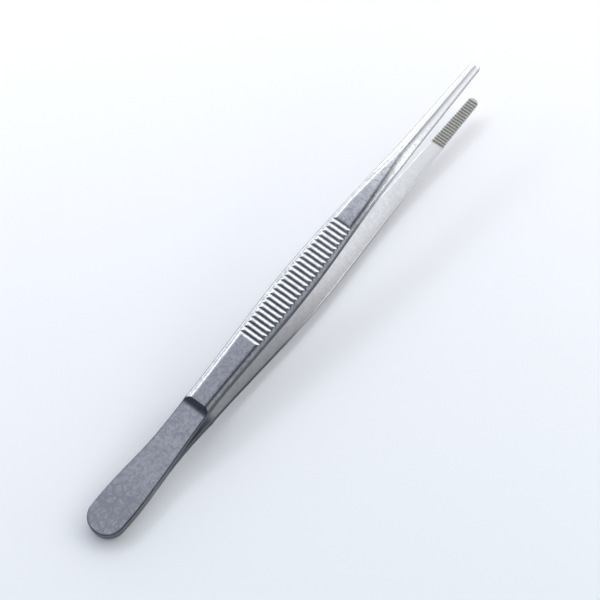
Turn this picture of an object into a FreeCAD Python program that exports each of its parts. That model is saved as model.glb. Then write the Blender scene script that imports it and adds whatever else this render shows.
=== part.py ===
import FreeCAD, Part
import math
import os

import Sketcher
from FreeCAD import Vector

# Plain thumb forceps, in millimetres, lying on the ribbed outer face of the lower leg.
#
# Two equal forged legs are joined face to face at the heel and spring apart towards the jaws.
# A leg is drawn in its own frame: X runs from the heel to the tip, Y across the leg, and Z
# outwards from the plane in which the two legs meet. The lower leg is the same leg turned
# half round about X. Both are then tilted until the outer face of the lower grip lies flat.
# The origin of the part is on that face, between the shoulder and the first rib.

# Driving sizes, each written once
SIZES = [
    ("overall_length", 145.0),
    # the legs seen from the side
    ("plate_thickness", 1.42),
    ("weld_length", 20.0),
    ("spring_bend_radius", 45.0),
    ("plate_angle", 10.2),
    ("shoulder_place", 37.45),
    ("shoulder_ramp_angle", 46.0),
    ("shoulder_radius", 4.4),
    ("knee_place", 42.2),
    ("knee_radius", 88.0),
    ("grip_angle", 4.4),
    ("grip_thickness", 1.88),
    ("jaw_opening", 16.0),
    ("jaw_thickness", 1.85),
    ("neck_inner_radius", 415.0),
    ("neck_outer_radius", 225.0),
    ("tip_nose_radius", 1.1),
    # the legs seen from above: where the straight sides would meet, and how they are rounded
    ("heel_end_half", 4.55),
    ("heel_corner_radius", 4.3),
    ("heel_wide_place", 9.5),
    ("heel_wide_half", 4.86),
    ("heel_side_radius", 85.0),
    ("waist_place", 33.3),
    ("waist_half", 3.16),
    ("waist_radius", 245.0),
    ("grip_wide_place", 74.1),
    ("grip_wide_half", 4.55),
    ("grip_side_radius", 230.0),
    ("neck_place", 109.6),
    ("neck_half", 2.31),
    ("neck_side_radius", 740.0),
    ("tip_half", 1.36),
    ("tip_corner_radius", 1.1),
    ("plate_edge_radius", 0.38),
    # the flat left on the outer face between the two long bevels
    ("bevel_run_in", 6.0),
    ("flat_shoulder_half", 2.15),
    ("flat_back_half", 2.36),
    ("flat_grip_half", 2.97),
    ("flat_rib_end_half", 2.12),
    ("flat_neck_half", 1.27),
    ("crest_start_half", 0.6),
    ("crest_half", 0.3),
    ("crest_run", 8.4),
    ("bevel_angle", 25.0),
    ("jaw_bevel_angle", 35.0),
    # ribs across the grip
    ("rib_count", 26),
    ("rib_pitch", 1.395),
    ("rib_depth", 0.28),
    ("rib_crest", 0.14),
    ("rib_root", 0.12),
    ("first_rib_place", 56.63),
    # teeth across the jaws
    ("tooth_count", 19),
    ("tooth_pitch", 0.81),
    ("tooth_depth", 0.3),
    ("tooth_crest", 0.1),
    ("tooth_root", 0.08),
    ("tooth_tip_margin", 1.3),
    # room that the cuts take beyond the leg
    ("cut_margin", 3.0),
]

# Places worked out from the driving sizes
PLACES = [
    ("spring_corner_x", "weld_length + spring_bend_radius * tan(plate_angle / 2 * 1deg)"),
    ("knee_z", "(knee_place - spring_corner_x) * tan(plate_angle * 1deg)"),
    ("jaw_inner_z", "jaw_opening / 2"),
    ("jaw_outer_z", "jaw_inner_z + jaw_thickness"),
    ("neck_inner_x", "knee_place + (jaw_inner_z - knee_z) / tan(grip_angle * 1deg)"),
    ("grip_face_z", "knee_z + grip_thickness - knee_place * tan(grip_angle * 1deg)"),
    ("neck_outer_x", "(jaw_outer_z - grip_face_z) / tan(grip_angle * 1deg)"),
    ("neck_outer_reach", "neck_outer_radius * tan(grip_angle / 2 * 1deg)"),
    ("neck_mid_z", "jaw_outer_z - neck_outer_reach ^ 2 / (2 * neck_outer_radius)"),
    ("neck_end_x", "neck_outer_x + neck_outer_reach"),
    ("shoulder_z", "grip_face_z + shoulder_place * tan(grip_angle * 1deg)"),
    # the plate's outer face, parallel to its inner face
    ("plate_rise", "plate_thickness / cos(plate_angle * 1deg)"),
    ("plate_outer_corner_x", "spring_corner_x - plate_thickness * tan(plate_angle / 2 * 1deg)"),
    ("outer_bend_radius", "spring_bend_radius - plate_thickness"),
    ("shoulder_drop", "shoulder_z - plate_rise - (shoulder_place - spring_corner_x) * tan(plate_angle * 1deg)"),
    ("ramp_reach", "shoulder_drop / (tan(shoulder_ramp_angle * 1deg) - tan(plate_angle * 1deg))"),
    ("ramp_foot_x", "shoulder_place - ramp_reach"),
    ("ramp_foot_z", "shoulder_z - ramp_reach * tan(shoulder_ramp_angle * 1deg)"),
    # stations of the bevel cut along the leg
    ("bevel_start_x", "shoulder_place - bevel_run_in"),
    ("bevel_start_z", "grip_face_z + bevel_start_x * tan(grip_angle * 1deg)"),
    ("grip_back_x", "(shoulder_place + first_rib_place) / 2"),
    ("grip_back_z", "grip_face_z + grip_back_x * tan(grip_angle * 1deg)"),
    ("grip_wide_z", "grip_face_z + grip_wide_place * tan(grip_angle * 1deg)"),
    ("rib_run", "rib_count * rib_pitch * cos(grip_angle * 1deg)"),
    ("rib_end_x", "first_rib_place - rib_pitch / 2 + rib_run"),
    ("rib_end_z", "grip_face_z + rib_end_x * tan(grip_angle * 1deg)"),
    ("tooth_row", "(tooth_count - 1) * tooth_pitch"),
    ("first_tooth_place", "overall_length - tooth_tip_margin - tooth_row"),
    ("crest_x", "neck_end_x + crest_run"),
    ("bevel_end_x", "overall_length + cut_margin"),
    # the stock that the leg is cut from
    ("heel_x", "0"),
    ("axis_y", "0"),
    ("behind_x", "-cut_margin"),
    ("beyond_x", "overall_length + cut_margin"),
    ("stock_half", "max(heel_wide_half; grip_wide_half) + cut_margin"),
    ("cut_height", "2 * (jaw_outer_z + cut_margin)"),
    # how the forceps lies
    ("rest_place", "(shoulder_place + first_rib_place) / 2"),
    ("rest_shift", "-rest_place / cos(grip_angle * 1deg) - grip_face_z * sin(grip_angle * 1deg)"),
    ("rest_lift", "grip_face_z * cos(grip_angle * 1deg)"),
]


def make_sheet(doc):
    """Fills the spreadsheet with the driving sizes and the places that follow from them."""
    sheet = doc.addObject("Spreadsheet::Sheet", "Sizes")
    for row, (name, value) in enumerate(SIZES + PLACES, start=1):
        sheet.set(f"A{row}", name)
        sheet.set(f"B{row}", str(value) if isinstance(value, (int, float)) else f"={value}")
        sheet.setAlias(f"B{row}", name)
    doc.recompute()
    return sheet


def number(sheet, name):
    """Reads one cell as a plain number."""
    value = sheet.get(name)
    return float(getattr(value, "Value", value))


def origin_plane(body, role):
    """Finds one of the body's own origin planes."""
    return next(feature for feature in body.Origin.OriginFeatures if feature.Role == role)


def new_sketch(body, name, role):
    """Adds a sketch on one of the body's origin planes."""
    sketch = body.newObject("Sketcher::SketchObject", name)
    sketch.AttachmentSupport = [(origin_plane(body, role), "")]
    sketch.MapMode = "FlatFace"
    return sketch


def join_ends(sketch, lines):
    """Joins each line's end to the start of the next, round to the first."""
    for i, line in enumerate(lines):
        following = lines[(i + 1) % len(lines)]
        sketch.addConstraint(Sketcher.Constraint("Coincident", line, 2, following, 1))


def set_sizes(sketch, sizes):
    """Adds dimensions to a sketch, each tied to the sheet by an expression."""
    for label, kind, ends, value, cell in sizes:
        index = sketch.addConstraint(Sketcher.Constraint(kind, *ends, value))
        sketch.renameConstraint(index, label)
        sketch.setExpression(f"Constraints.{label}", cell)


def bind_point(sketch, geometry, end, across, up, values):
    """Ties a point of the sketch to a pair of cells of the sheet."""
    ends = (-1, 1, geometry, end)
    set_sizes(sketch, [
        (f"{across}_{geometry}", "DistanceX", ends, values.x, f"Sizes.{across}"),
        (f"{up}_{geometry}", "DistanceY", ends, values.y, f"Sizes.{up}"),
    ])


def draw_outline(sketch, sheet, corners):
    """Draws a closed outline through corners given as cells, rounding those that have a radius."""
    count = len(corners)
    points = [Vector(number(sheet, corner[0]), number(sheet, corner[1]), 0) for corner in corners]
    enter, leave, arcs = [], [], {}
    for i, corner in enumerate(corners):
        here = points[i]
        if corner[2] is None:
            enter.append(here)
            leave.append(here)
            continue
        radius = number(sheet, corner[2])
        back = (points[i - 1] - here).normalize()
        ahead = (points[(i + 1) % count] - here).normalize()
        half = back.getAngle(ahead) / 2
        reach = radius / math.tan(half)
        centre = here + (back + ahead).normalize() * (radius / math.sin(half))
        enter.append(here + back * reach)
        leave.append(here + ahead * reach)
        arcs[i] = (centre, radius, (back.cross(ahead)).z)
    lines = []
    for i in range(count):
        lines.append(sketch.addGeometry(Part.LineSegment(leave[i], enter[(i + 1) % count]), False))
    for i, corner in enumerate(corners):
        before = lines[i - 1]
        after = lines[i]
        if i not in arcs:
            sketch.addConstraint(Sketcher.Constraint("Coincident", before, 2, after, 1))
            bind_point(sketch, after, 1, corner[0], corner[1], points[i])
            continue
        centre, radius, turn = arcs[i]
        start, finish = (enter[i], leave[i]) if turn < 0 else (leave[i], enter[i])
        circle = Part.Circle(centre, Vector(0, 0, 1), radius)
        arc = Part.ArcOfCircle(circle, circle.parameter(start), circle.parameter(finish))
        index = sketch.addGeometry(arc, False)
        first, last = (1, 2) if turn < 0 else (2, 1)
        sketch.addConstraint(Sketcher.Constraint("Tangent", before, 2, index, first))
        sketch.addConstraint(Sketcher.Constraint("Tangent", index, last, after, 1))
        set_sizes(sketch, [
            (f"{corner[2]}_{index}", "Radius", (index,), radius, f"Sizes.{corner[2]}"),
        ])
        mark = sketch.addGeometry(Part.Point(points[i]), True)
        bind_point(sketch, mark, 1, corner[0], corner[1], points[i])
        sketch.addConstraint(Sketcher.Constraint("PointOnObject", mark, 1, before))
        sketch.addConstraint(Sketcher.Constraint("PointOnObject", mark, 1, after))


def check(doc):
    """Stops when an object of the document has failed."""
    for item in doc.Objects:
        if "Invalid" in item.State or "Error" in item.State:
            raise RuntimeError(f"{item.Name} failed: {item.State}")


def side_outline():
    """Corners of a leg seen from the side, round its inner face and back along its outer face."""
    return [
        ("heel_x", "axis_y", None),
        ("spring_corner_x", "axis_y", "spring_bend_radius"),
        ("knee_place", "knee_z", "knee_radius"),
        ("neck_inner_x", "jaw_inner_z", "neck_inner_radius"),
        ("overall_length", "jaw_inner_z", None),
        ("overall_length", "jaw_outer_z", "tip_nose_radius"),
        ("neck_outer_x", "jaw_outer_z", "neck_outer_radius"),
        ("shoulder_place", "shoulder_z", None),
        ("ramp_foot_x", "ramp_foot_z", "shoulder_radius"),
        ("plate_outer_corner_x", "plate_thickness", "outer_bend_radius"),
        ("heel_x", "plate_thickness", None),
    ]


def waste_outline():
    """Corners of the waste beside a leg seen from above: its side, then round the stock's edge."""
    return [
        ("heel_x", "axis_y", None),
        ("heel_x", "heel_end_half", "heel_corner_radius"),
        ("heel_wide_place", "heel_wide_half", "heel_side_radius"),
        ("waist_place", "waist_half", "waist_radius"),
        ("grip_wide_place", "grip_wide_half", "grip_side_radius"),
        ("neck_place", "neck_half", "neck_side_radius"),
        ("overall_length", "tip_half", "tip_corner_radius"),
        ("overall_length", "axis_y", None),
        ("beyond_x", "axis_y", None),
        ("beyond_x", "stock_half", None),
        ("behind_x", "stock_half", None),
        ("behind_x", "axis_y", None),
    ]


# Stations of the bevel cut: place along the leg, outer face there, half of the flat, bevel angle
BEVEL_STATIONS = [
    ("bevel_start_x", "bevel_start_z", "flat_shoulder_half", "bevel_angle"),
    ("grip_back_x", "grip_back_z", "flat_back_half", "bevel_angle"),
    ("grip_wide_place", "grip_wide_z", "flat_grip_half", "bevel_angle"),
    ("rib_end_x", "rib_end_z", "flat_rib_end_half", "bevel_angle"),
    ("neck_outer_x", "neck_mid_z", "flat_neck_half", "bevel_angle"),
    ("neck_end_x", "jaw_outer_z", "crest_start_half", "bevel_angle"),
    ("crest_x", "jaw_outer_z", "crest_half", "jaw_bevel_angle"),
    ("bevel_end_x", "jaw_outer_z", "crest_half", "jaw_bevel_angle"),
]


def add_blank(body, sheet):
    """Pads the side view of the leg and cuts both sides to the view from above."""
    side = new_sketch(body, "SideView", "XZ_Plane")
    draw_outline(side, sheet, side_outline())
    blank = body.newObject("PartDesign::Pad", "Blank")
    blank.Profile = side
    blank.SideType = "Symmetric"
    blank.setExpression("Length", "2 * Sizes.stock_half")
    plan = new_sketch(body, "SideWaste", "XY_Plane")
    draw_outline(plan, sheet, waste_outline())
    cut = body.newObject("PartDesign::Pocket", "SideCut")
    cut.Profile = plan
    cut.SideType = "Symmetric"
    cut.setExpression("Length", "Sizes.cut_height")
    both = body.newObject("PartDesign::Mirrored", "BothSideCuts")
    both.Originals = [cut]
    both.MirrorPlane = (origin_plane(body, "XZ_Plane"), [""])
    body.Tip = both
    return both


def rim_edges(shape, limit):
    """Names the edges where the side walls meet the outer face, as far as a place along the leg."""
    names = []
    for index, edge in enumerate(shape.Edges, start=1):
        if edge.BoundBox.XMax > limit:
            continue
        middle = edge.valueAt((edge.FirstParameter + edge.LastParameter) / 2)
        rises = []
        for face in shape.ancestorsOfType(edge, Part.Face):
            rises.append(face.normalAt(*face.Surface.parameter(middle)).z)
        wall_and_face = len(rises) == 2 and abs(min(rises, key=abs)) < 1e-6 and max(rises) > 0.5
        if wall_and_face:
            names.append(f"Edge{index}")
    return names


def round_plate_edges(body, sheet, blank):
    """Rounds the outer edge of the thin plate, round the heel and up both sides of the shoulder."""
    rounding = body.newObject("PartDesign::Fillet", "PlateEdges")
    rounding.Base = (blank, rim_edges(blank.Shape, number(sheet, "ramp_foot_x")))
    rounding.setExpression("Radius", "Sizes.plate_edge_radius")
    body.Tip = rounding


def add_bevels(body, sheet):
    """Cuts the two long bevels of the outer face with one lofted cutter."""
    sections = []
    for station, face, flat, angle in BEVEL_STATIONS:
        section = new_sketch(body, f"Bevel_{station}", "YZ_Plane")
        section.setExpression("AttachmentOffset.Base.z", f"Sizes.{station}")
        slope = math.tan(math.radians(number(sheet, angle)))
        across = number(sheet, "stock_half")
        ridge = number(sheet, face) + number(sheet, flat) * slope
        low = ridge - across * slope
        high = ridge + number(sheet, "cut_margin")
        points = [(0, ridge), (across, low), (across, high), (-across, high), (-across, low)]
        corners = [Vector(y, z, 0) for y, z in points]
        lines = []
        for i, corner in enumerate(corners):
            following = corners[(i + 1) % len(corners)]
            lines.append(section.addGeometry(Part.LineSegment(corner, following), False))
        join_ends(section, lines)
        section.addConstraint(Sketcher.Constraint("PointOnObject", lines[0], 1, -2))
        section.addConstraint(Sketcher.Constraint("Symmetric", lines[0], 2, lines[3], 2, -2))
        section.addConstraint(Sketcher.Constraint("Symmetric", lines[1], 2, lines[2], 2, -2))
        section.addConstraint(Sketcher.Constraint("Vertical", lines[1]))
        ridge_cell = f"Sizes.{face} + Sizes.{flat} * tan(Sizes.{angle} * 1deg)"
        sizes = [
            ("ridge", "DistanceY", (-1, 1, lines[0], 1), ridge, ridge_cell),
            ("half", "DistanceX", (-1, 1, lines[1], 1), across, "Sizes.stock_half"),
            ("fall", "DistanceY", (lines[0], 2, lines[0], 1), ridge - low,
             f"Sizes.stock_half * tan(Sizes.{angle} * 1deg)"),
            ("room", "DistanceY", (lines[0], 1, lines[1], 2), high - ridge, "Sizes.cut_margin"),
        ]
        set_sizes(section, sizes)
        sections.append(section)
    bevels = body.newObject("PartDesign::SubtractiveLoft", "Bevels")
    bevels.Profile = sections[0]
    bevels.Sections = sections[1:]
    bevels.Ruled = False
    body.Tip = bevels


def add_grooves(body, sheet, name, cells, frame, outwards):
    """Cuts one V groove across the leg and repeats it along the face."""
    count, pitch, depth, crest, root = cells
    sketch = new_sketch(body, f"{name}Profile", "XZ_Plane")
    for path, cell in frame:
        sketch.setExpression(path, cell)
    half_mouth = (number(sheet, pitch) - number(sheet, crest)) / 2
    half_root = number(sheet, root) / 2
    deep = -outwards * number(sheet, depth)
    proud = outwards * number(sheet, depth)
    flare = half_mouth + (half_mouth - half_root)
    points = [(-half_root, deep), (half_root, deep), (flare, proud), (-flare, proud)]
    corners = [Vector(x, z, 0) for x, z in points]
    lines = []
    for i, corner in enumerate(corners):
        following = corners[(i + 1) % len(corners)]
        lines.append(sketch.addGeometry(Part.LineSegment(corner, following), False))
    join_ends(sketch, lines)
    sketch.addConstraint(Sketcher.Constraint("Symmetric", lines[0], 1, lines[0], 2, -2))
    sketch.addConstraint(Sketcher.Constraint("Symmetric", lines[2], 1, lines[2], 2, -2))
    sizes = [
        ("root", "DistanceX", (lines[0], 1, lines[0], 2), 2 * half_root, f"Sizes.{root}"),
        ("flare", "DistanceX", (lines[2], 2, lines[2], 1), 2 * flare,
         f"2 * (Sizes.{pitch} - Sizes.{crest}) - Sizes.{root}"),
        ("deep", "DistanceY", (-1, 1, lines[0], 1), deep, f"{-outwards} * Sizes.{depth}"),
        ("proud", "DistanceY", (-1, 1, lines[2], 1), proud, f"{outwards} * Sizes.{depth}"),
    ]
    set_sizes(sketch, sizes)
    groove = body.newObject("PartDesign::Pocket", f"{name}Groove")
    groove.Profile = sketch
    groove.SideType = "Symmetric"
    groove.setExpression("Length", "2 * Sizes.stock_half")
    row = body.newObject("PartDesign::LinearPattern", f"{name}Row")
    row.Originals = [groove]
    row.Direction = (sketch, ["H_Axis"])
    row.Mode = "Spacing"
    row.setExpression("Offset", f"Sizes.{pitch}")
    row.setExpression("Occurrences", f"Sizes.{count}")
    body.Tip = row


def make_leg(doc, sheet, label, tooth_shift, turn):
    """Builds one leg as a body of its own and lays it in its place."""
    body = doc.addObject("PartDesign::Body", label)
    body.Label = label
    blank = add_blank(body, sheet)
    doc.recompute()
    round_plate_edges(body, sheet, blank)
    add_bevels(body, sheet)
    rib_frame = [
        ("AttachmentOffset.Base.x", "Sizes.first_rib_place"),
        ("AttachmentOffset.Base.y",
         "Sizes.grip_face_z + Sizes.first_rib_place * tan(Sizes.grip_angle * 1deg)"),
        ("AttachmentOffset.Rotation.Angle", "Sizes.grip_angle * 1deg"),
    ]
    rib_cells = ("rib_count", "rib_pitch", "rib_depth", "rib_crest", "rib_root")
    add_grooves(body, sheet, "Rib", rib_cells, rib_frame, 1)
    tooth_frame = [
        ("AttachmentOffset.Base.x", f"Sizes.first_tooth_place + {tooth_shift} * Sizes.tooth_pitch"),
        ("AttachmentOffset.Base.y", "Sizes.jaw_inner_z"),
    ]
    tooth_cells = ("tooth_count", "tooth_pitch", "tooth_depth", "tooth_crest", "tooth_root")
    add_grooves(body, sheet, "Tooth", tooth_cells, tooth_frame, -1)
    lie_down = (
        "create(<<placement>>; create(<<vector>>; Sizes.rest_shift; 0; Sizes.rest_lift);"
        " create(<<rotation>>; create(<<vector>>; 0; 1; 0); -Sizes.grip_angle))")
    turn_over = (
        "create(<<placement>>; create(<<vector>>; 0; 0; 0);"
        f" create(<<rotation>>; create(<<vector>>; 1; 0; 0); {turn}))")
    body.setExpression("Placement", f"{lie_down} * {turn_over}")
    return body


def main():
    """Builds both legs, checks them and writes one STEP file for each."""
    doc = FreeCAD.newDocument("ThumbForceps")
    sheet = make_sheet(doc)
    legs = [
        make_leg(doc, sheet, "upper_leg", 0.5, 0),
        make_leg(doc, sheet, "lower_leg", 0, 180),
    ]
    doc.recompute()
    check(doc)
    os.makedirs("parts", exist_ok=True)
    for leg in legs:
        shape = leg.Shape
        if shape.isNull() or not shape.isValid():
            raise RuntimeError(f"{leg.Label} has no valid shape")
        shape.exportStep(f"parts/{leg.Label}.step")
        print(leg.Label, "volume", round(shape.Volume, 2), "faces", len(shape.Faces))


main()
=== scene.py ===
"""Looks of a pair of plain thumb forceps in satin forged steel, lying on a pale table."""

import logging
import math
from dataclasses import dataclass, fields
from enum import Enum
from typing import Any, Optional, Union

import bpy
from mathutils import Matrix, Vector


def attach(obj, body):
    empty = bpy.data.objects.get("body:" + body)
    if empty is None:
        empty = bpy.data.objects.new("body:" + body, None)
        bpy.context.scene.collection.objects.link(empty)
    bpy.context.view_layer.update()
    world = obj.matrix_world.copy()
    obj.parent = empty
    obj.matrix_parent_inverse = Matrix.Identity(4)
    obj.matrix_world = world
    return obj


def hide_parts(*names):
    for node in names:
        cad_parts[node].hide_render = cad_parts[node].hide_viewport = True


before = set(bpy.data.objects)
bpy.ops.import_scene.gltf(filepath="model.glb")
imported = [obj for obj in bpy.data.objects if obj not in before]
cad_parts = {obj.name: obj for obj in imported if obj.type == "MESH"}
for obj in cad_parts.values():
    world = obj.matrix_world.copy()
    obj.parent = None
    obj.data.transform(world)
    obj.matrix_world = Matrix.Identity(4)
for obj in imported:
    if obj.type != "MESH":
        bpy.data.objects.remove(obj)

LOG = logging.getLogger("thumb_forceps")
MILLIMETRE = 0.001
Number = Union[float, int]


class Leg(Enum):
    """The two legs: node, turn about X, shift of the teeth and painted shade on the wall beside the corner.
    """

    UPPER = ("upper_leg", 0.0, 0.5, 0.0)
    LOWER = ("lower_leg", 180.0, 0.0, 1.0)

    @property
    def node(self) -> str:
        """Name of the leg's node."""
        return self.value[0]

    @property
    def turn(self) -> float:
        """Turn about X, in degrees, that lays the leg on its side of the middle plane."""
        return self.value[1]

    @property
    def tooth_shift(self) -> float:
        """How far the teeth stand forward, as a share of their pitch."""
        return self.value[2]

    @property
    def wall_painted_shade(self) -> float:
        """How much painted shade darkens the side wall where the legs part: 1 where it is fully dark."""
        return self.value[3]


class Term:
    """A value in a node tree that Python's own operators work on."""

    def __init__(self, wiring: "Wiring", socket: bpy.types.NodeSocket) -> None:
        """Wraps a socket.

        Args:
            wiring: the tree that the socket is in.
            socket: the output that carries the value.
        """
        self.wiring = wiring
        self.socket = socket

    def __add__(self, other: "Value") -> "Term":
        """Sum."""
        return self.wiring.maths("ADD", self, other)

    __radd__ = __add__

    def __sub__(self, other: "Value") -> "Term":
        """Difference."""
        return self.wiring.maths("SUBTRACT", self, other)

    def __rsub__(self, other: "Value") -> "Term":
        """Difference from a number."""
        return self.wiring.maths("SUBTRACT", other, self)

    def __mul__(self, other: "Value") -> "Term":
        """Product."""
        return self.wiring.maths("MULTIPLY", self, other)

    __rmul__ = __mul__

    def __truediv__(self, other: "Value") -> "Term":
        """Quotient."""
        return self.wiring.maths("DIVIDE", self, other)

    def __rtruediv__(self, other: "Value") -> "Term":
        """Quotient of a number."""
        return self.wiring.maths("DIVIDE", other, self)

    def __pow__(self, other: "Value") -> "Term":
        """Power."""
        return self.wiring.maths("POWER", self, other)

    def __neg__(self) -> "Term":
        """Negative."""
        return self.wiring.maths("MULTIPLY", self, -1.0)

    def __abs__(self) -> "Term":
        """Size without its sign."""
        return self.wiring.maths("ABSOLUTE", self)


Value = Union[Term, Number]


class Wiring:
    """Adds nodes to one tree."""

    def __init__(self, tree: bpy.types.NodeTree) -> None:
        """Keeps the tree.

        Args:
            tree: a geometry or shader tree.
        """
        self.tree = tree

    def node(self, kind: str, settings: Optional[dict[str, Any]] = None,
             inputs: Optional[dict[Any, Any]] = None) -> bpy.types.Node:
        """Adds one node.

        Args:
            kind: the node's type.
            settings: its own settings, which are made first.
            inputs: values or links of its sockets, by name or place.

        Returns:
            The node.
        """
        node = self.tree.nodes.new(kind)
        for name, setting in (settings or {}).items():
            setattr(node, name, setting)
        for key, value in (inputs or {}).items():
            self.plug(node.inputs[key], value)
        return node

    def plug(self, socket: bpy.types.NodeSocket, value: Any) -> None:
        """Links or sets one input.

        Args:
            socket: the input.
            value: a term, a socket or a plain value.
        """
        if isinstance(value, Term):
            self.tree.links.new(value.socket, socket)
        elif isinstance(value, bpy.types.NodeSocket):
            self.tree.links.new(value, socket)
        else:
            socket.default_value = value

    def maths(self, operation: str, *values: Value) -> Term:
        """Adds a Math node.

        Args:
            operation: the node's operation.
            values: terms or numbers.

        Returns:
            The result.
        """
        node = self.node("ShaderNodeMath", {"operation": operation}, dict(enumerate(values)))
        return Term(self, node.outputs[0])

    def low(self, one: Value, other: Value) -> Term:
        """Lower of two values."""
        return self.maths("MINIMUM", one, other)

    def high(self, one: Value, other: Value) -> Term:
        """Higher of two values."""
        return self.maths("MAXIMUM", one, other)

    def within(self, value: Value, least: Value, most: Value) -> Term:
        """Value kept between two limits."""
        return self.low(self.high(value, least), most)

    def tan(self, degrees: Value) -> Term:
        """Tangent of an angle in degrees."""
        return self.maths("TANGENT", degrees * math.radians(1.0))

    def rounded_low(self, one: Value, other: Value, blend: Value) -> Term:
        """Lower of two heights, with the corner between them rounded.

        Args:
            one: first height.
            other: second height.
            blend: height difference at which the rounding starts.

        Returns:
            The rounded lower height.
        """
        near = self.high(blend - abs(one - other), 0.0)
        return self.low(one, other) - near * near / (4.0 * blend)

    def rounded_high(self, one: Value, other: Value, blend: Value) -> Term:
        """Higher of two heights, with the corner between them filled round.

        Args:
            one: first height.
            other: second height.
            blend: height difference at which the rounding starts.

        Returns:
            The rounded higher height.
        """
        near = self.high(blend - abs(one - other), 0.0)
        return self.high(one, other) + near * near / (4.0 * blend)

    def fade(self, value: Value, start: Value, end: Value, low: Value = 0.0, high: Value = 1.0) -> Term:
        """Smooth change from one value to another.

        Args:
            value: where on the way.
            start: where the change starts.
            end: where it ends.
            low: result before the start.
            high: result after the end.

        Returns:
            The changed value.
        """
        node = self.node("ShaderNodeMapRange", {"interpolation_type": "SMOOTHSTEP"}, {
            "Value": value, "From Min": start, "From Max": end, "To Min": low, "To Max": high})
        return Term(self, node.outputs["Result"])

    def mix(self, share: Value, first: Any, second: Any) -> bpy.types.NodeSocket:
        """Mixes two colours.

        Args:
            share: share of the second colour.
            first: first colour.
            second: second colour.

        Returns:
            The mixed colour.
        """
        first, second = ((*c, 1.0) if isinstance(c, tuple) else c for c in (first, second))
        return self.node("ShaderNodeMix", {"data_type": "RGBA"}, {
            "Factor": share, "A": first, "B": second}).outputs["Result"]


@dataclass(frozen=True)
class Ramp:
    """A smooth change between two places, from the value before the first to the value past the second."""

    start: float
    end: float
    before: float = 0.0
    after: float = 1.0

    def on(self, value: Term) -> Term:
        """The change, along a term."""
        return value.wiring.fade(value, self.start, self.end, self.before, self.after)


@dataclass
class LegSizes:
    """Sizes of a leg, in millimetres and degrees, in its own frame: heel to tip, across, outwards.

    A fill and a share have no unit, and ridge_rounding is in square millimetres.
    """

    overall_length: float = 145.0
    plate_thickness: float = 1.42
    weld_length: float = 20.0
    spring_bend_radius: float = 45.0
    plate_angle: float = 10.2
    shoulder_place: float = 37.45
    shoulder_ramp_angle: float = 46.0
    shoulder_radius: float = 4.4
    shoulder_fill: float = 0.63
    knee_place: float = 42.2
    knee_radius: float = 88.0
    grip_angle: float = 4.4
    grip_thickness: float = 1.88
    jaw_opening: float = 16.0
    jaw_thickness: float = 1.85
    neck_inner_radius: float = 415.0
    neck_outer_radius: float = 225.0
    tip_nose_radius: float = 1.1
    heel_end_half: float = 4.55
    heel_corner_radius: float = 4.3
    heel_wide_place: float = 9.5
    heel_wide_half: float = 4.86
    heel_side_radius: float = 85.0
    waist_place: float = 33.3
    waist_half: float = 3.16
    waist_radius: float = 245.0
    grip_wide_place: float = 74.1
    grip_wide_half: float = 4.55
    grip_side_radius: float = 230.0
    neck_place: float = 109.6
    neck_half: float = 2.31
    neck_side_radius: float = 740.0
    tip_half: float = 1.36
    tip_corner_radius: float = 1.1
    bevel_run_in: float = 6.0
    flat_shoulder_half: float = 2.35
    flat_grip_half: float = 3.19
    flat_rib_end_half: float = 2.35
    flat_neck_half: float = 1.42
    flat_wide_rounding: float = 0.25
    flat_rib_end_rounding: float = 0.1
    flat_crest_rounding: float = 0.3
    flat_widest_share: float = 0.62
    crest_half: float = 0.3
    bevel_angle: float = 25.0
    jaw_bevel_angle: float = 35.0
    jaw_bevel_run_in: float = 14.0
    ridge_rounding: float = 0.02
    rib_count: float = 26.0
    rib_pitch: float = 1.395
    rib_depth: float = 0.28
    rib_crest: float = 0.14
    rib_root: float = 0.12
    first_rib_place: float = 56.63
    tooth_count: float = 19.0
    tooth_pitch: float = 0.81
    tooth_depth: float = 0.3
    tooth_crest: float = 0.1
    tooth_root: float = 0.08
    first_tooth_place: float = 129.12
    plate_edge_radius: float = 0.2
    grip_edge_radius: float = 0.6
    jaw_edge_radius: float = 0.3
    inner_edge_radius: float = 0.3
    seam_edge_radius: float = 0.05
    seam_start: float = 15.5
    seam_end: float = 19.5
    crest_rounding: float = 0.06
    bevel_rounding: float = 0.28
    jaw_rounding: float = 0.45
    groove_rounding: float = 0.05
    tooth_rounding: float = 0.03
    edge_run_in: float = 1.0
    rim_shade_start: float = 0.1
    rim_shade_end: float = 0.45
    bright_edge_start: float = 60.0
    bright_edge_end: float = 80.0
    corner_fade_start: float = 60.0
    rim_fade_start: float = 86.0
    rim_fade_end: float = 106.0

    @property
    def tilt(self) -> float:
        """Angle of the grip, in radians."""
        return math.radians(self.grip_angle)

    @property
    def grip_face(self) -> float:
        """Height at which the line of the grip's outer face meets the heel."""
        turn = math.radians(self.plate_angle)
        corner = self.weld_length + self.spring_bend_radius * math.tan(turn / 2)
        knee = (self.knee_place - corner) * math.tan(turn)
        return knee + self.grip_thickness - self.knee_place * math.tan(self.tilt)

    def placing(self, turn: float) -> Matrix:
        """Lays a leg down in the part's frame.

        Args:
            turn: turn about X, in degrees, before it is laid down.

        Returns:
            Matrix from the leg's frame in millimetres to the part's frame in metres.
        """
        rest = (self.shoulder_place + self.first_rib_place) / 2
        shift = -rest / math.cos(self.tilt) - self.grip_face * math.sin(self.tilt)
        lift = self.grip_face * math.cos(self.tilt)
        down = Matrix.Translation((shift, 0.0, lift)) @ Matrix.Rotation(-self.tilt, 4, "Y")
        return Matrix.Scale(MILLIMETRE, 4) @ down @ Matrix.Rotation(math.radians(turn), 4, "X")


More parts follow.
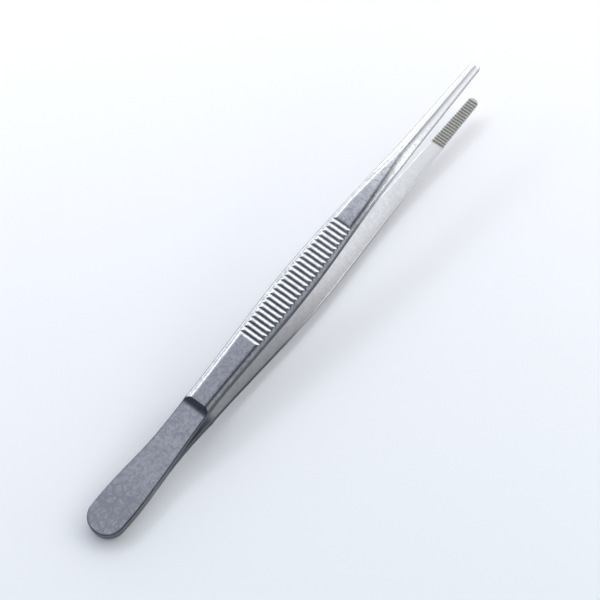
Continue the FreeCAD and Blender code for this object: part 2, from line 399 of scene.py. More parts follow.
@dataclass
class LegMesh:
    """How finely a leg is divided: steps along each stretch and round the section."""

    nose_steps: int = 20
    plate_steps: int = 60
    shoulder_steps: int = 60
    back_steps: int = 40
    rib_steps: int = 14
    neck_steps: int = 90
    tooth_steps: int = 12
    tip_steps: int = 12
    bevel_steps: int = 14
    flat_steps: int = 10
    wall_steps: int = 5
    inner_steps: int = 26
    shoulder_start: float = 34.0
    shoulder_end: float = 41.0
    merge_distance: float = 0.00002

    def stretches(self, sizes: LegSizes) -> list[tuple[float, float, int]]:
        """Stretches along the leg that are divided evenly, between the two round ends.

        Args:
            sizes: the leg's sizes.

        Returns:
            Start, end and steps of each stretch.
        """
        ribs = int(sizes.rib_count)
        teeth = int(sizes.tooth_count)
        rib_step = sizes.rib_pitch * math.cos(sizes.tilt)
        rib_start = sizes.first_rib_place - rib_step / 2
        rib_end = rib_start + ribs * rib_step
        tooth_start = sizes.first_tooth_place - sizes.tooth_pitch / 2
        tooth_end = tooth_start + (teeth + 0.5) * sizes.tooth_pitch
        return [
            (sizes.heel_corner_radius, self.shoulder_start, self.plate_steps),
            (self.shoulder_start, self.shoulder_end, self.shoulder_steps),
            (self.shoulder_end, rib_start, self.back_steps),
            (rib_start, rib_end, ribs * self.rib_steps),
            (rib_end, tooth_start, self.neck_steps),
            (tooth_start, tooth_end, teeth * self.tooth_steps + self.tooth_steps // 2),
        ]


@dataclass(frozen=True)
class PaintedShades:
    """How dark the painted shade is on the edges, the side walls and the corner between the legs: 1 is
    darkest.

    The last four are places on the way round from the outer face, at 0, to the inner face, at 1.
    """

    edge: float = 0.95
    wall_at_weld: float = 0.82
    wall_in_front: float = 1.0
    corner_behind_shoulder: float = 0.85
    corner_past_shoulder: float = 0.2
    jaw: float = 0.3
    edge_end: float = 0.5
    wall_full: float = 0.3
    bright_edge: Ramp = Ramp(0.75, 0.95)
    corner: Ramp = Ramp(0.45, 0.85)


class LegRule:
    """The rule that gives a leg its shape, as a geometry tree with its sizes as named inputs."""

    def __init__(self, sizes: LegSizes, mesh: LegMesh, shades: PaintedShades,
                 steel: bpy.types.Material) -> None:
        """Builds the tree.

        Args:
            sizes: values of the named inputs.
            mesh: how finely the leg is divided.
            shades: how dark the painted shade on its edges, walls and corner is.
            steel: the finish that the tree gives to the leg.
        """
        self.sizes = sizes
        self.mesh = mesh
        self.shades = shades
        self.tree = bpy.data.node_groups.new("forged_leg", "GeometryNodeTree")
        self.wiring = Wiring(self.tree)
        self.sockets: dict[str, str] = {}
        for name in (*(size.name for size in fields(sizes)), "tooth_shift", "wall_painted_shade"):
            socket = self.tree.interface.new_socket(name, in_out="INPUT", socket_type="NodeSocketFloat")
            self.sockets[name] = socket.identifier
        self.tree.interface.new_socket("leg", in_out="OUTPUT", socket_type="NodeSocketGeometry")
        self.given = self.wiring.node("NodeGroupInput")
        self.build(steel)

    def size(self, name: str) -> Term:
        """One of the tree's named inputs."""
        return Term(self.wiring, self.given.outputs[name])

    def line(self, x: Term, start: tuple[str, str], end: tuple[str, str]) -> tuple[Term, Term]:
        """Straight line through two corners that are given as inputs.

        Args:
            x: place along the leg.
            start: names of the first corner's place and value.
            end: names of the second corner's place and value.

        Returns:
            The line's value at x, and its slope.
        """
        first, second = self.size(start[0]), self.size(end[0])
        slope = (self.size(end[1]) - self.size(start[1])) / (second - first)
        return self.size(start[1]) + (x - first) * slope, slope

    def blend(self, radius: str, one: Value, other: Value) -> Term:
        """Height difference at which a corner of a radius between two slopes starts."""
        turn = one - other
        return self.size(radius) * turn * turn / 2.0

    def side_width(self, x: Term) -> Term:
        """Half width between the straight and curved sides, before the ends are rounded."""
        heel_end, heel_half = self.size("heel_end_half"), self.size("heel_wide_half")
        heel_slope = (heel_half - heel_end) / self.size("heel_wide_place")
        heel = heel_end + x * heel_slope
        turns = [("heel_wide_place", "heel_wide_half"), ("waist_place", "waist_half"),
                 ("grip_wide_place", "grip_wide_half"), ("neck_place", "neck_half"),
                 ("overall_length", "tip_half")]
        (waist, waist_slope), (grip, grip_slope), (neck, neck_slope), (tip, tip_slope) = (
            self.line(x, *pair) for pair in zip(turns, turns[1:]))
        rules = self.wiring
        back = rules.rounded_low(heel, waist, self.blend("heel_side_radius", heel_slope, waist_slope))
        back = rules.rounded_high(back, grip, self.blend("waist_radius", waist_slope, grip_slope))
        front = rules.rounded_high(neck, tip, self.blend("neck_side_radius", neck_slope, tip_slope))
        return rules.rounded_low(back, front, self.blend("grip_side_radius", grip_slope, neck_slope))

    def end_drop(self, gap: Term, radius: str) -> Term:
        """How much a round end takes off.

        Args:
            gap: distance from the end.
            radius: name of the end's radius.

        Returns:
            The amount, from the whole radius at the end to nothing one radius away.
        """
        reach = self.wiring.high(self.size(radius) - gap, 0.0)
        inside = self.wiring.high(self.size(radius) ** 2.0 - reach * reach, 0.0)
        return self.size(radius) - self.wiring.maths("SQRT", inside)

    def rim_gap(self, x: Term, y: Term, width: Term, end: Term, radius: str) -> Term:
        """Distance from the outline, round one end's corners.

        Args:
            x: place along the leg; not used.
            y: place across the leg.
            width: half width before the end is rounded.
            end: distance from that end.
            radius: name of the end's corner radius.

        Returns:
            The distance, never more than the radius.
        """
        rules = self.wiring
        corner = self.size(radius)
        along = rules.high(corner - end, 0.0)
        across = rules.high(abs(y) - width + corner, 0.0)
        return corner - rules.maths("SQRT", along * along + across * across)

    def edge_drop(self, gap: Term, radius: Value) -> Term:
        """Height that a rounded edge loses near the outline."""
        rules = self.wiring
        near = rules.high(radius - rules.high(gap, 0.0), 0.0)
        return radius - rules.maths("SQRT", rules.high(radius * radius - near * near, 0.0))

    def inner_face(self, x: Term) -> Term:
        """Height of the inner face, without its teeth."""
        rules = self.wiring
        plate_slope, grip_slope = rules.tan(self.size("plate_angle")), rules.tan(self.size("grip_angle"))
        plate = (x - self.spring_corner()) * plate_slope
        knee = (self.size("knee_place") - self.spring_corner()) * plate_slope
        grip = knee + (x - self.size("knee_place")) * grip_slope
        jaw = self.size("jaw_opening") / 2.0
        front = rules.rounded_low(grip, jaw, self.blend("neck_inner_radius", grip_slope, 0.0))
        front = rules.rounded_low(plate, front, self.blend("knee_radius", plate_slope, grip_slope))
        return rules.rounded_high(front, 0.0, self.blend("spring_bend_radius", plate_slope, 0.0))

    def spring_corner(self) -> Term:
        """Place where the straight heel and the straight spring would meet."""
        return self.size("weld_length") + self.size("spring_bend_radius") * self.wiring.tan(
            self.size("plate_angle") / 2.0)

    def grip_outer(self, x: Term) -> Term:
        """Height of the outer face of the grip and the jaw, without ribs and bevels."""
        rules = self.wiring
        slope = rules.tan(self.size("grip_angle"))
        knee = (self.size("knee_place") - self.spring_corner()) * rules.tan(self.size("plate_angle"))
        grip = knee + self.size("grip_thickness") + (x - self.size("knee_place")) * slope
        jaw = self.size("jaw_opening") / 2.0 + self.size("jaw_thickness")
        return rules.rounded_low(grip, jaw, self.blend("neck_outer_radius", slope, 0.0))

    def outer_face(self, x: Term, grip: Term) -> Term:
        """Height of the outer face along the middle: plate, shoulder ramp, then grip.

        Args:
            x: place along the leg.
            grip: height of the grip's outer face there.

        Returns:
            The height.
        """
        rules = self.wiring
        slope = rules.tan(self.size("plate_angle"))
        ramp_slope = rules.tan(self.size("shoulder_ramp_angle"))
        thick = self.size("plate_thickness")
        rise = thick / rules.maths("COSINE", self.size("plate_angle") * math.radians(1.0))
        plate = rise + (x - self.spring_corner()) * slope
        bend = (self.size("spring_bend_radius") - thick) * slope * slope / 2.0
        plate = rules.rounded_high(plate, thick, bend)
        crest = self.size("shoulder_place") * rules.tan(self.size("grip_angle")) + self.sizes.grip_face
        ramp = crest + (x - self.size("shoulder_place")) * ramp_slope
        fill = self.blend("shoulder_radius", ramp_slope, slope) * self.size("shoulder_fill")
        plate = rules.rounded_high(plate, ramp, fill)
        return rules.rounded_low(plate, grip, self.size("crest_rounding"))

    def flat_half(self, x: Term, width: Term) -> Term:
        """Half width of the flat between the bevels.

        Args:
            x: place along the leg.
            width: half width of the leg there.

        Returns:
            The half width of the flat, always inside the leg.
        """
        rules = self.wiring
        grip, _ = self.line(x, ("shoulder_place", "flat_shoulder_half"),
                            ("grip_wide_place", "flat_grip_half"))
        place = self.size("first_rib_place") + (self.size("rib_count") - 0.5) * self.size("rib_pitch")
        end = self.size("flat_rib_end_half")
        slope = (end - self.size("flat_grip_half")) / (place - self.size("grip_wide_place"))
        ribs = end + (x - place) * slope
        slope = (self.size("flat_neck_half") - end) / (self.neck_corner() - place)
        neck = end + (x - place) * slope
        flat = rules.rounded_low(grip, ribs, self.size("flat_wide_rounding"))
        flat = rules.rounded_low(flat, neck, self.size("flat_rib_end_rounding"))
        flat = rules.rounded_high(flat, self.size("crest_half"), self.size("flat_crest_rounding"))
        return rules.low(flat, width * self.size("flat_widest_share"))

    def neck_corner(self) -> Term:
        """Place where the straight grip and the straight jaw would meet on the outer face."""
        rise = self.size("jaw_opening") / 2.0 + self.size("jaw_thickness") - self.sizes.grip_face
        return rise / self.wiring.tan(self.size("grip_angle"))

    def groove_lift(self, run: Term, kind: str) -> Term:
        """Height of a row of V grooves over the face that they are cut in.

        Args:
            run: place along the face, from the middle of the first groove.
            kind: "rib" or "tooth".

        Returns:
            Below 0 inside the grooves and above 0 between and beyond them.
        """
        rules = self.wiring
        pitch, depth = self.size(f"{kind}_pitch"), self.size(f"{kind}_depth")
        mouth = (pitch - self.size(f"{kind}_crest")) / 2.0
        root = self.size(f"{kind}_root") / 2.0
        turn = rules.within(rules.maths("ROUND", run / pitch), 0.0, self.size(f"{kind}_count") - 1.0)
        away = rules.high(abs(run - turn * pitch), root)
        return (away - mouth) * depth / (mouth - root)

    def place_along(self, step: Term) -> Term:
        """Place along the leg of each cross section.

        Args:
            step: number of the cross section, with the heel's end at 0.

        Returns:
            The place, with even steps between the two round ends.
        """
        rules = self.wiring
        heel = rules.within(step / float(self.mesh.nose_steps), 0.0, 1.0)
        x = self.size("heel_corner_radius") * (1.0 - rules.maths("COSINE", heel * (math.pi / 2)))
        first = self.mesh.nose_steps
        for start, end, steps in self.mesh.stretches(self.sizes):
            x = x + rules.within(step - float(first), 0.0, float(steps)) * ((end - start) / steps)
            first += steps
        tip = rules.within((step - float(first)) / float(self.mesh.tip_steps), 0.0, 1.0)
        rest = self.size("overall_length") - end
        return x + rest * rules.maths("SINE", tip * (math.pi / 2))

    def ease(self, step: Term, steps: int) -> Term:
        """Share of a stretch across the leg, with points close together at both of its ends."""
        share = self.wiring.within(step / float(steps), 0.0, 1.0)
        return (1.0 - self.wiring.maths("COSINE", share * math.pi)) / 2.0

    def build(self, steel: bpy.types.Material) -> None:
        """Wires the whole tree.

        Args:
            steel: the finish.
        """
        rules, mesh = self.wiring, self.mesh
        sections = mesh.nose_steps + mesh.tip_steps + sum(s[2] for s in mesh.stretches(self.sizes)) + 1
        around = 2 * mesh.bevel_steps + mesh.flat_steps + 2 * mesh.wall_steps + mesh.inner_steps
        grid = rules.node("GeometryNodeMeshGrid", None, {
            "Size X": float(sections + 1), "Size Y": float(around),
            "Vertices X": sections + 2, "Vertices Y": around + 1})
        spot = rules.node("ShaderNodeSeparateXYZ", None, {
            0: rules.node("GeometryNodeInputPosition").outputs[0]})
        row = rules.maths("ROUND", Term(rules, spot.outputs["X"]) + (sections + 1) / 2)
        column = rules.maths("ROUND", Term(rules, spot.outputs["Y"]) + around / 2)

        x = self.place_along(row - 1.0)
        side = self.side_width(x)
        tip_gap = self.size("overall_length") - x
        width = side - self.end_drop(x, "heel_corner_radius") - self.end_drop(tip_gap, "tip_corner_radius")
        flat = self.flat_half(x, width)

        past_flat = float(mesh.bevel_steps + mesh.flat_steps)
        past_top = past_flat + mesh.bevel_steps
        past_wall = past_top + mesh.wall_steps
        past_inner = past_wall + mesh.inner_steps
        share = rules.within((column - float(mesh.bevel_steps)) / float(mesh.flat_steps), 0.0, 1.0)
        bevels = self.ease(column, mesh.bevel_steps) + self.ease(column - past_flat, mesh.bevel_steps)
        inner = self.ease(column - past_wall, mesh.inner_steps)
        y = (width - flat) * bevels + 2.0 * flat * share - width - 2.0 * width * inner
        under = rules.within((column - past_top) / float(mesh.wall_steps), 0.0, 1.0)
        under = under - rules.within((column - past_inner) / float(mesh.wall_steps), 0.0, 1.0)

        gap = rules.low(self.rim_gap(x, y, side, x, "heel_corner_radius"),
                        self.rim_gap(x, y, side, tip_gap, "tip_corner_radius"))
        top = self.top_height(x, y, flat, gap)
        bottom = self.bottom_height(x, gap)
        z = top + (bottom - top) * under

        middle = (top + bottom) / 2.0
        cap = rules.within(row, 0.0, 1.0) * rules.within(sections + 1.0 - row, 0.0, 1.0)
        place = rules.node("ShaderNodeCombineXYZ", None, {
            "X": x, "Y": y * cap, "Z": middle + (z - middle) * cap})
        first_tooth = self.size("first_tooth_place") - self.size("tooth_pitch")
        teeth = under * rules.fade(x, first_tooth, first_tooth + self.size("tooth_pitch") / 2.0)
        # Painted shade: marks how much the edges, the side walls and the corner between the legs are
        # darkened.
        marked = self.mark(grid, "painted_shade", self.rim_shade(x, gap, under))
        marked = self.mark(self.mark(marked, "inner", under), "teeth", teeth)
        shaped = rules.node("GeometryNodeSetPosition", None, {
            "Geometry": marked.outputs[0], "Position": place.outputs[0]})
        joined = rules.node("GeometryNodeMergeByDistance", None, {
            "Geometry": shaped.outputs[0], "Distance": mesh.merge_distance})
        smooth = rules.node("GeometryNodeSetShadeSmooth", None, {"Geometry": joined.outputs[0]})
        real = rules.node("GeometryNodeRealizeInstances", None, {"Geometry": smooth.outputs[0]})
        dressed = rules.node("GeometryNodeSetMaterial", None, {
            "Geometry": real.outputs[0], "Material": steel})
        rules.node("NodeGroupOutput", None, {0: dressed.outputs[0]})

    def rim_shade(self, x: Term, gap: Term, under: Term) -> Term:
        """How much painted shade darkens the edges, the side walls and the corner between the legs.

        Args:
            x: place along the leg.
            gap: distance from the outline.
            under: 0 on the outer face, 1 on the inner face and between them on the wall.

        Returns:
            The share of the dark colour.
        """
        rules, shades = self.wiring, self.shades
        weld, shoulder, run = (self.size(n) for n in ("weld_length", "shoulder_place", "edge_run_in"))
        near = rules.fade(gap, self.size("rim_shade_end"), self.size("rim_shade_start"))
        edge = near * rules.fade(under, 0.0, shades.edge_end, shades.edge, 0.0)
        thin = rules.fade(x, self.size("bright_edge_start"), self.size("bright_edge_end"))
        wall = rules.fade(under, 0.0, shades.wall_full) * (1.0 - shades.bright_edge.on(under) * thin)
        # Painted shade: the lower leg's wall is darker where the legs part.
        parted = self.size("wall_painted_shade") * rules.fade(x, weld - run, weld + run * 2.0)
        depth = rules.fade(x, weld, shoulder, shades.wall_at_weld, shades.wall_in_front)
        painted_shade = rules.high(edge, wall * near * rules.high(depth, parted))
        painted_shade = painted_shade * rules.fade(x, self.size("rim_fade_start"), self.size("rim_fade_end"), 1.0, shades.jaw)
        # Painted shade in the corner between the legs, stronger behind the shoulder.
        corner = shades.corner.on(under) * rules.fade(x, weld - run, weld + run)
        corner = corner * rules.fade(x, shoulder - run, shoulder + run * 2.0,
                                     shades.corner_behind_shoulder, shades.corner_past_shoulder)
        last = rules.fade(x, self.size("rim_fade_start"), self.size("corner_fade_start"))
        return rules.high(painted_shade, corner * last)

    def mark(self, shape: bpy.types.Node, name: str, value: Term) -> bpy.types.Node:
        """Stores a value for the finish on every point.

        Args:
            shape: the node that gives the shape.
            name: what the finish calls the value.
            value: the value.

        Returns:
            The node that stores it.
        """
        settings = {"data_type": "FLOAT", "domain": "POINT"}
        return self.wiring.node("GeometryNodeStoreNamedAttribute", settings, {
            "Geometry": shape.outputs[0], "Name": name, "Value": value})

    def top_height(self, x: Term, y: Term, flat: Term, gap: Term) -> Term:
        """Height of the outer face, with its bevels, ribs and rounded edges.

        Args:
            x: place along the leg.
            y: place across the leg.
            flat: half width of the flat there.
            gap: distance from the outline.

        Returns:
            The height.
        """
        rules = self.wiring
        grip = self.grip_outer(x)
        outer = self.outer_face(x, grip)
        neck = self.neck_corner()
        front = rules.fade(x, neck, neck + self.size("jaw_bevel_run_in"))
        angle = self.size("bevel_angle") + (self.size("jaw_bevel_angle") - self.size("bevel_angle")) * front
        across = rules.maths("SQRT", y * y + self.size("ridge_rounding"))
        bevel = grip - (across - flat) * rules.tan(angle)
        start = self.size("shoulder_place") - self.size("bevel_run_in")
        bevel = bevel + rules.high(start - x, 0.0)
        blend = self.size("bevel_rounding")
        blend = blend + (self.size("jaw_rounding") - blend) * front
        top = rules.rounded_low(outer, bevel, blend)
        run = (x - self.size("first_rib_place")) / math.cos(self.sizes.tilt)
        top = rules.rounded_low(top, grip + self.groove_lift(run, "rib"), self.size("groove_rounding"))
        top = top - self.end_drop(self.size("overall_length") - x, "tip_nose_radius")
        shoulder, run = self.size("shoulder_place"), self.size("edge_run_in")
        radius = rules.fade(x, shoulder - run, shoulder + run,
                            self.size("plate_edge_radius"), self.size("grip_edge_radius"))
        radius = radius + front * (self.size("jaw_edge_radius") - self.size("grip_edge_radius"))
        return top - self.edge_drop(gap, radius)

    def bottom_height(self, x: Term, gap: Term) -> Term:
        """Height of the inner face, with its teeth and rounded edges.

        Args:
            x: place along the leg.
            gap: distance from the outline.

        Returns:
            The height.
        """
        rules = self.wiring
        jaw = self.size("jaw_opening") / 2.0
        shift = self.size("tooth_shift") * self.size("tooth_pitch")
        teeth = jaw - self.groove_lift(x - self.size("first_tooth_place") - shift, "tooth")
        bottom = rules.rounded_high(self.inner_face(x), teeth, self.size("tooth_rounding"))
        radius = rules.fade(x, self.size("seam_start"), self.size("seam_end"),
                            self.size("seam_edge_radius"), self.size("inner_edge_radius"))
        return bottom + self.edge_drop(gap, radius)

    def forge(self, leg: Leg) -> bpy.types.Object:
        """Makes one leg as a plain mesh in its place.

        Args:
            leg: which leg.

        Returns:
            The piece.
        """
        blank = bpy.data.objects.new(f"{leg.node}_blank", bpy.data.meshes.new("blank"))
        bpy.context.scene.collection.objects.link(blank)
        modifier = blank.modifiers.new("shape", "NODES")
        modifier.node_group = self.tree
        for size in fields(self.sizes):
            modifier[self.sockets[size.name]] = getattr(self.sizes, size.name)
        modifier[self.sockets["tooth_shift"]] = leg.tooth_shift
        modifier[self.sockets["wall_painted_shade"]] = leg.wall_painted_shade
        evaluated = blank.evaluated_get(bpy.context.evaluated_depsgraph_get())
        shape = bpy.data.meshes.new_from_object(evaluated)
        blank.modifiers.remove(modifier)
        bpy.data.objects.remove(blank)
        shape.name = f"{leg.node}_forging"
        shape.transform(self.sizes.placing(leg.turn))
        piece = bpy.data.objects.new(f"{leg.node}_forging", shape)
        bpy.context.scene.collection.objects.link(piece)
        return piece


@dataclass(frozen=True)
class Speckle:
    """A noise: size of its features in millimetres, how many finer layers it has, and their weight."""

    size: float
    layers: float
    weight: float

    def over(self, wiring: Wiring, spot: bpy.types.NodeSocket) -> Term:
        """Adds the noise.

        Args:
            wiring: the material's tree.
            spot: the place on the object.

        Returns:
            The noise, from 0 to 1.
        """
        node = wiring.node("ShaderNodeTexNoise", None, {
            "Vector": spot, "Scale": 1.0 / (self.size * MILLIMETRE),
            "Detail": self.layers, "Roughness": self.weight})
        return Term(wiring, node.outputs["Fac"])


@dataclass(frozen=True)
class SatinSteel:
    """Satin forged stainless steel: a finely blasted skin with a faint blotchy mottle.

    Sizes and heights of the pattern are in millimetres, and its ramps along the leg in metres.
    """

    name: str = "satin_steel"
    pale: tuple[float, float, float] = (0.615, 0.61, 0.615)
    deep: tuple[float, float, float] = (0.4, 0.405, 0.425)
    # Colour of the painted shade on the edges, walls and corner between the legs.
    painted_shade_colour: tuple[float, float, float] = (0.076, 0.088, 0.106)
    inner_colour: tuple[float, float, float] = (0.64, 0.635, 0.622)
    teeth_colour: tuple[float, float, float] = (0.445, 0.432, 0.398)
    roughness: float = 0.23
    rim_roughness: float = 0.4
    inner_roughness: float = 0.36
    teeth_roughness: float = 0.5
    roughness_swing: float = 0.1
    jaw_softness: float = 0.09
    blotch: Speckle = Speckle(1.1, 5.0, 0.68)
    blotch_share: float = 0.55
    stain: Speckle = Speckle(3.4, 1.0, 0.4)
    stain_rings: float = 5.0
    stain_share: float = 0.06
    grain: Speckle = Speckle(0.32, 2.0, 0.5)
    grain_share: float = 0.35
    mottle_lift: float = 0.02
    mottle_spread: Ramp = Ramp(0.34, 0.66)
    blasted: Ramp = Ramp(0.085, 0.06, 0.12, 1.0)
    ring_size: float = 2.6
    ring_line: Ramp = Ramp(0.14, 0.03)
    ring_depth: float = 0.6
    nose: Ramp = Ramp(-0.03, -0.039)
    nose_depth: float = 0.16
    inner_share: float = 0.5
    grain_height: float = 0.012
    blotch_height: float = 2.0
    bump_strength: float = 0.42

    def build(self) -> bpy.types.Material:
        """Makes the material.

        Returns:
            The material.
        """
        material = bpy.data.materials.new(self.name)
        material.use_nodes = True
        material.node_tree.nodes.clear()
        wiring = Wiring(material.node_tree)
        spot = wiring.node("ShaderNodeTexCoord").outputs["Object"]
        blotch, grain, stain = (noise.over(wiring, spot) for noise in (self.blotch, self.grain, self.stain))
        rings = wiring.maths("SINE", stain * (2.0 * math.pi * self.stain_rings)) * 0.5 + 0.5
        mottle = blotch * self.blotch_share + grain * self.grain_share + rings * self.stain_share
        mottle = self.mottle_spread.on(mottle + self.mottle_lift)
        along = Term(wiring, wiring.node("ShaderNodeSeparateXYZ", None, {0: spot}).outputs["X"])
        blasted = self.blasted.on(along)
        mottle = 0.5 + (mottle - 0.5) * blasted
        cells = wiring.node("ShaderNodeTexVoronoi", {"feature": "DISTANCE_TO_EDGE"}, {
            "Vector": spot, "Scale": 1.0 / (self.ring_size * MILLIMETRE)})
        ring = self.ring_line.on(Term(wiring, cells.outputs["Distance"]))
        mottle = mottle - self.nose.on(along) * (ring * self.ring_depth + self.nose_depth)
        painted_shade, inner, teeth = (self.marked(wiring, name) for name in ("painted_shade", "inner", "teeth"))
        colour = wiring.mix(mottle, self.deep, self.pale)
        colour = wiring.mix(inner * self.inner_share, colour, self.inner_colour)
        colour = wiring.mix(teeth, colour, self.teeth_colour)
        # Painted shade: darkens the marked edges, walls and corner towards a near-black colour.
        colour = wiring.mix(painted_shade, colour, self.painted_shade_colour)
        bump = wiring.node("ShaderNodeBump", None, {
            "Strength": self.bump_strength, "Distance": self.grain_height * MILLIMETRE,
            "Height": (grain + blotch * self.blotch_height) * blasted})
        rough = self.roughness + (0.5 - blotch) * self.roughness_swing
        rough = rough + inner * (self.inner_roughness - self.roughness)
        rough = rough + teeth * (self.teeth_roughness - self.inner_roughness)
        rough = rough + (1.0 - blasted) * self.jaw_softness
        rough = wiring.high(rough, painted_shade * self.rim_roughness)
        shader = wiring.node("ShaderNodeBsdfPrincipled", None, {
            "Base Color": colour, "Metallic": 1.0, "Roughness": rough, "Normal": bump.outputs["Normal"]})
        wiring.node("ShaderNodeOutputMaterial", None, {"Surface": shader.outputs["BSDF"]})
        return material

    def marked(self, wiring: Wiring, name: str) -> Term:
        """Value that the leg's shape stores under a name."""
        return Term(wiring, wiring.node("ShaderNodeAttribute", {"attribute_name": name}).outputs["Fac"])


@dataclass
class Studio:
    """Camera, pale table and soft light.

    The ramps of the table and the overhead light are in metres, and those of the room are shares of
    a direction.
    """

    azimuth: float = -49.894
    elevation: float = 63.062
    roll: float = -1.79
    distance: float = 442.1
    focal_pixels: float = 1862.0
    picture_pixels: float = 600.0
    sensor: float = 36.0
    nearest_seen: float = 0.01
    farthest_seen: float = 20.0
    aim: tuple[float, float, float] = (25.868, -0.988, 5.967)
    table_size: float = 6.0
    table_near: tuple[float, float, float] = (0.87, 0.898, 0.905)
    table_far: tuple[float, float, float] = (0.878, 0.865, 0.873)
    table_left: tuple[float, float, float] = (0.95, 0.95, 0.955)
    table_away: Ramp = Ramp(-0.09, 0.1)
    table_aside: Ramp = Ramp(-0.08, 0.08, 0.0, 0.5)
    light_level: float = 1.12
    card_height: float = 0.46
    card_half: float = 0.62
    card_edge: float = 0.14
    card_slant: float = 0.3
    heel_glow: Ramp = Ramp(-0.45, -0.12, 0.08, 0.5)
    heel_dip: Ramp = Ramp(-0.06, -0.01, 0.0, -0.08)
    heel_rise: Ramp = Ramp(0.01, 0.05, 0.0, 0.04)
    grip_glow: Ramp = Ramp(0.02, 0.2, 0.0, 0.4)
    tip_glow: Ramp = Ramp(0.12, 0.4, 0.0, 0.95)
    strip_near: Ramp = Ramp(-0.22, -0.16)
    strip_far: Ramp = Ramp(0.05, -0.01)
    strip_depth: Ramp = Ramp(0.16, 0.28, 0.92, 0.2)
    heel_dusk: Ramp = Ramp(-0.37, -0.47)
    heel_dusk_depth: Ramp = Ramp(0.2, 0.08, 0.0, 0.8)
    tip_gleam: Ramp = Ramp(-0.3, -0.45)
    tip_gleam_height: Ramp = Ramp(0.2, 0.3, 0.0, 0.7)
    far_band: Ramp = Ramp(0.29, 0.45)
    far_band_reach: Ramp = Ramp(-0.42, -0.2)
    far_band_light: float = 3.0
    card_tint: Ramp = Ramp(0.05, 0.35)
    far_wall: float = 1.05
    far_horizon: float = 2.8
    tip_wall: float = 1.8
    near_wall: float = 0.5
    near_tip_wall: float = 2.6
    near_horizon: float = 0.2
    back_wall: float = 0.9
    heel_wall: float = 0.04
    far_low: Ramp = Ramp(0.3, 0.1)
    far_tip: Ramp = Ramp(0.3, 0.6)
    near_low: Ramp = Ramp(0.6, 0.35)
    near_tip_start: Ramp = Ramp(0.6, 0.35, 0.18, 0.33)
    near_tip_end: Ramp = Ramp(0.6, 0.35, 0.3, 0.48)
    back_turn: Ramp = Ramp(0.0, -0.3)
    far_turn: Ramp = Ramp(-0.45, 0.1)
    heel_turn: Ramp = Ramp(-0.35, -0.75)
    heel_near: Ramp = Ramp(-0.45, -0.1)
    heel_far: Ramp = Ramp(0.8, 0.6)
    heel_tint: tuple[float, float, float] = (0.95, 1.02, 1.2)
    tip_tint: tuple[float, float, float] = (0.98, 1.005, 1.01)
    wall_tint: tuple[float, float, float] = (0.97, 0.99, 1.02)
    dark_tint: tuple[float, float, float] = (0.7, 1.0, 1.5)

    def build(self) -> None:
        """Sets up the whole studio."""
        self.add_camera()
        self.add_table()
        self.add_card()
        self.add_world()
        bpy.context.scene.view_settings.view_transform = "Standard"

    def add_camera(self) -> None:
        """Adds the camera at the viewing angle, aimed past the grip."""
        lens = bpy.data.cameras.new("camera")
        lens.sensor_width = self.sensor
        lens.lens = self.focal_pixels / self.picture_pixels * self.sensor
        lens.clip_start = self.nearest_seen
        lens.clip_end = self.farthest_seen
        turn, rise, roll = (math.radians(a) for a in (self.azimuth, self.elevation, self.roll))
        right = Vector((math.cos(turn), math.sin(turn), 0.0))
        back = Vector((math.sin(turn) * math.cos(rise), -math.cos(turn) * math.cos(rise), math.sin(rise)))
        up = back.cross(right)
        right, up = (math.cos(roll) * right + math.sin(roll) * up,
                     math.cos(roll) * up - math.sin(roll) * right)
        camera = bpy.data.objects.new("camera", lens)
        place = (Vector(self.aim) + back * self.distance) * MILLIMETRE
        camera.matrix_world = Matrix.Translation(place) @ Matrix((right, up, back)).transposed().to_4x4()
        bpy.context.scene.collection.objects.link(camera)
        bpy.context.scene.camera = camera

    def picture_axes(self) -> tuple[tuple[float, float], tuple[float, float]]:
        """Directions on the table that run up and to the right in the picture."""
        turn = math.radians(self.azimuth)
        return (-math.sin(turn), math.cos(turn)), (math.cos(turn), math.sin(turn))

    def add_sheet(self, name: str, half: float, height: float) -> tuple[bpy.types.Object, Wiring]:
        """Adds a level square sheet with an empty material.

        Args:
            name: the sheet's name.
            half: half its side, in metres.
            height: its height, in metres.

        Returns:
            The sheet, and the tree of its material.
        """
        mesh = bpy.data.meshes.new(name)
        mesh.from_pydata([(-half, -half, height), (half, -half, height), (half, half, height),
                          (-half, half, height)], [], [(0, 1, 2, 3)])
        material = bpy.data.materials.new(name)
        material.use_nodes = True
        material.node_tree.nodes.clear()
        mesh.materials.append(material)
        sheet = bpy.data.objects.new(name, mesh)
        bpy.context.scene.collection.objects.link(sheet)
        return sheet, Wiring(material.node_tree)

    def add_table(self) -> None:
        """Adds the white table top, with the room's fall of light painted into its colour: a little bluer
        near the camera and paler on the left of the picture.
        """
        _, wiring = self.add_sheet("table", self.table_size / 2, 0.0)
        along, across = self.places(wiring)
        up, right = self.picture_axes()
        away = along * up[0] + across * up[1]
        aside = -(along * right[0] + across * right[1])
        colour = wiring.mix(self.table_away.on(away), self.table_near, self.table_far)
        colour = wiring.mix(self.table_aside.on(aside), colour, self.table_left)
        paper = wiring.node("ShaderNodeBsdfDiffuse", None, {"Color": colour})
        wiring.node("ShaderNodeOutputMaterial", None, {"Surface": paper.outputs["BSDF"]})

    def places(self, wiring: Wiring) -> list[Term]:
        """Places along and across the legs, on a sheet."""
        spot = wiring.node("ShaderNodeTexCoord").outputs["Object"]
        parts = wiring.node("ShaderNodeSeparateXYZ", None, {0: spot})
        return [Term(wiring, parts.outputs[axis]) for axis in "XY"]

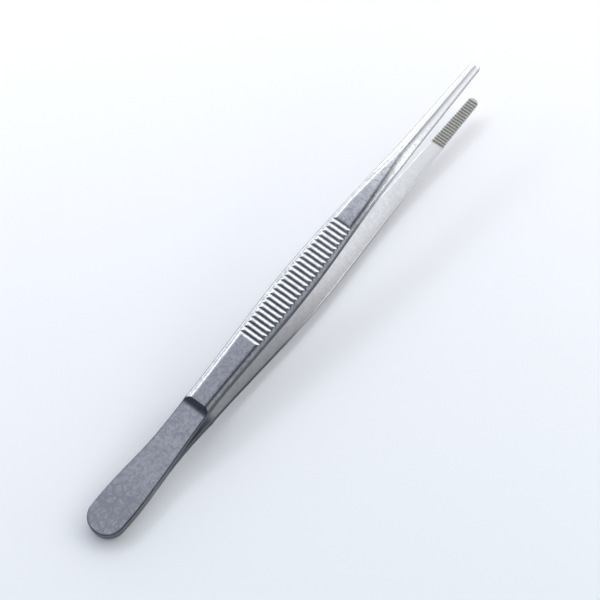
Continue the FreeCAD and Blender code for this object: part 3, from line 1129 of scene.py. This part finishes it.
    def add_card(self) -> None:
        """Adds the soft light overhead, which the camera doesn't see and which thins out at its edges."""
        card, wiring = self.add_sheet("overhead_light", self.card_half, self.card_height)
        card.visible_camera = False
        along, across = self.places(wiring)
        tint = wiring.mix(self.card_tint.on(along), self.heel_tint, self.tip_tint)
        edge = Ramp(self.card_half, self.card_half - self.card_edge)
        solid = edge.on(abs(along)) * edge.on(abs(across))
        glow = wiring.node("ShaderNodeEmission", None, {
            "Color": tint, "Strength": self.card_light(wiring, along, across) * self.light_level})
        clear = wiring.node("ShaderNodeBsdfTransparent")
        mixed = wiring.node("ShaderNodeMixShader", None, {
            0: solid, 1: clear.outputs["BSDF"], 2: glow.outputs["Emission"]})
        wiring.node("ShaderNodeOutputMaterial", None, {"Surface": mixed.outputs["Shader"]})

    def card_light(self, wiring: Wiring, along: Term, across: Term) -> Term:
        """How strong the overhead light is.

        Args:
            wiring: the light's tree.
            along: place along the legs.
            across: place across the legs.

        Returns:
            The strength: dim over the heel, bright over the tip and the far side, with a dark strip.
        """
        slanted = along + wiring.low(across, 0.0) * self.card_slant
        light = self.heel_glow.on(along) + self.heel_dip.on(along) + self.heel_rise.on(along)
        light = light + self.grip_glow.on(slanted) + self.tip_glow.on(slanted)
        strip = self.strip_near.on(across) * self.strip_far.on(across)
        light = light * (1.0 - strip * self.strip_depth.on(along))
        light = light * (1.0 - self.heel_dusk.on(across) * self.heel_dusk_depth.on(along))
        light = light + self.tip_gleam.on(across) * self.tip_gleam_height.on(along)
        band = self.far_band.on(across) * self.far_band_reach.on(along)
        return light + band * (self.far_band_light - light)

    def add_world(self) -> None:
        """Adds the room round the table: bright beyond the far side and the tip, dark behind the heel."""
        world = bpy.data.worlds.new("room")
        world.use_nodes = True
        world.node_tree.nodes.clear()
        bpy.context.scene.world = world
        wiring = Wiring(world.node_tree)
        towards = wiring.node("ShaderNodeTexCoord").outputs["Generated"]
        parts = wiring.node("ShaderNodeSeparateXYZ", None, {0: towards})
        along, across, rise = (Term(wiring, parts.outputs[axis]) for axis in "XYZ")
        heel = self.heel_turn.on(along) * self.heel_near.on(across) * self.heel_far.on(across)
        light = self.wall_light(wiring, along, across, rise)
        light = light + heel * (self.heel_wall - light)
        tint = wiring.mix(heel, self.wall_tint, self.dark_tint)
        glow = wiring.node("ShaderNodeBackground", None, {
            "Color": tint, "Strength": light * self.light_level})
        wiring.node("ShaderNodeOutputWorld", None, {"Surface": glow.outputs["Background"]})

    def wall_light(self, wiring: Wiring, along: Term, across: Term, rise: Term) -> Term:
        """How bright the room is in a direction, apart from its dark part behind the heel.

        Args:
            wiring: the world's tree.
            along: the direction's share along the legs.
            across: its share across the legs.
            rise: its share upwards.

        Returns:
            The brightness.
        """
        far = self.far_wall + self.far_low.on(rise) * (self.far_horizon - self.far_wall)
        far = far + self.far_tip.on(along) * (self.tip_wall - self.far_wall)
        near = self.near_wall + self.near_low.on(rise) * (self.near_horizon - self.near_wall)
        tip = wiring.fade(along, self.near_tip_start.on(rise), self.near_tip_end.on(rise))
        near = near + tip * (self.near_tip_wall - near)
        near = near + self.back_turn.on(along) * (self.back_wall - near)
        return near + self.far_turn.on(across) * (far - near)


def main() -> None:
    """Builds the legs and the studio."""
    logging.basicConfig(level=logging.INFO, format="%(name)s: %(message)s")
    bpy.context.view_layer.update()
    rule = LegRule(LegSizes(), LegMesh(), PaintedShades(), SatinSteel().build())
    for leg in Leg:
        piece = rule.forge(leg)
        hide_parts(leg.node)
        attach(piece, "root")
        LOG.info("%s has %d faces", piece.name, len(piece.data.polygons))
    Studio().build()


if __name__ == "__main__":
    main()
